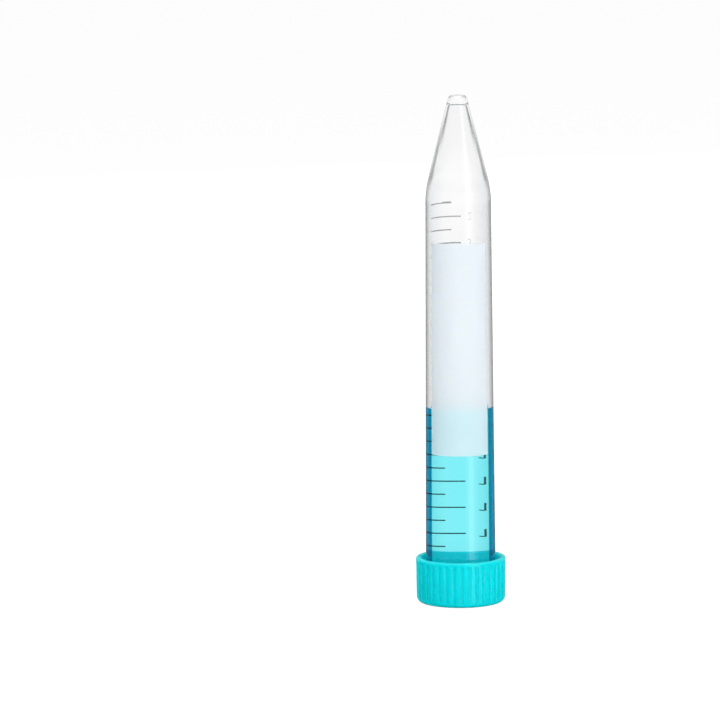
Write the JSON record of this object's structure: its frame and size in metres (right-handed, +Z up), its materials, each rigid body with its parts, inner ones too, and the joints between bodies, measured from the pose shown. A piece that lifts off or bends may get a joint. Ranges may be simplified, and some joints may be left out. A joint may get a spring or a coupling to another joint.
{
  "type": "conical centrifuge tube",
  "caption": "Clear graduated conical tube part filled with blue liquid, standing upside down on its ribbed turquoise screw cap.",
  "frame": {"origin": "centre of the cap's flat end, which the object stands on", "axes": "+Z up along the tube's axis, from the cap to the pointed end; the write-on patch faces -Y and the graduations face +Y"},
  "size_m": [0.0214, 0.0214, 0.1212],
  "materials": {
    "clear_plastic": "gloss",
    "cap_plastic": "satin",
    "liner_rubber": "matte",
    "solution": "gloss"
  },
  "bodies": {
    "cap": {"screw_cap": "cap_plastic"},
    "seal": {"seal_liner": "liner_rubber"},
    "barrel": {"tube": "clear_plastic", "blue_solution": "solution"}
  },
  "joints": [
    {"name": "unscrew", "type": "hinge", "parent": "cap", "child": "seal", "pos_m": [0, 0, 0], "axis": [0, 0, 1], "range_deg": [0, 540]},
    {"name": "lift", "type": "slide", "parent": "seal", "child": "barrel", "axis": [0, 0, 1], "range_m": [0, 0.0045]}
  ],
  "couplings": [
    {"joint": "unscrew", "follows": "lift", "rad_per_m": 2094.4}
  ]
}
